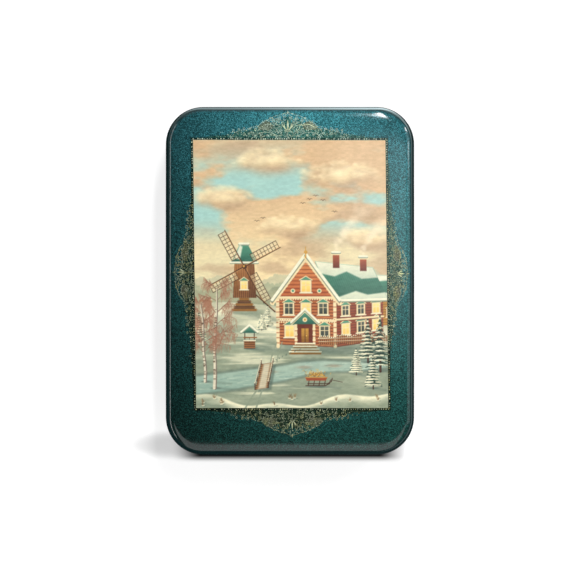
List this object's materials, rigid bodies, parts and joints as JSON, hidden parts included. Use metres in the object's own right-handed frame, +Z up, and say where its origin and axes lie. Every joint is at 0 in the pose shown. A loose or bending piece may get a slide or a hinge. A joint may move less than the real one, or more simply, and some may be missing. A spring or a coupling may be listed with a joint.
{
  "type": "lacquer box",
  "caption": "Rectangular papier-mache lacquer box with rounded corners and a slightly domed, hinged lid with gold ornament and a painted winter landscape.",
  "frame": {"origin": "centre of the box's underside, on the surface that it rests on", "axes": "+Z up out of the lid, +Y along the length towards the hinge, +X to the right seen from the front edge"},
  "size_m": [0.1, 0.14, 0.036],
  "materials": {
    "black_lacquer": "gloss",
    "red_lacquer": "gloss",
    "teal_flake_lacquer": "gloss",
    "hinge_brass": "satin",
    "pin_steel": "satin",
    "ornament_gold": "satin",
    "painted_picture": "gloss"
  },
  "bodies": {
    "case": {"body_wall": "black_lacquer", "base_plate": "black_lacquer", "lip_liner": "red_lacquer", "hinge_body_leaf": "hinge_brass", "hinge_pin": "pin_steel", "hinge_body_nails": "hinge_brass"},
    "lid": {"lid_frame": "black_lacquer", "lid_top": "teal_flake_lacquer", "hinge_lid_leaf": "hinge_brass", "hinge_lid_nails": "hinge_brass"}
  },
  "joints": [
    {"name": "lid_hinge", "type": "hinge", "parent": "case", "child": "lid", "pos_m": [0, 0.0685, 0.02658], "axis": [-1, 0, 0], "range_deg": [0, 97]}
  ]
}
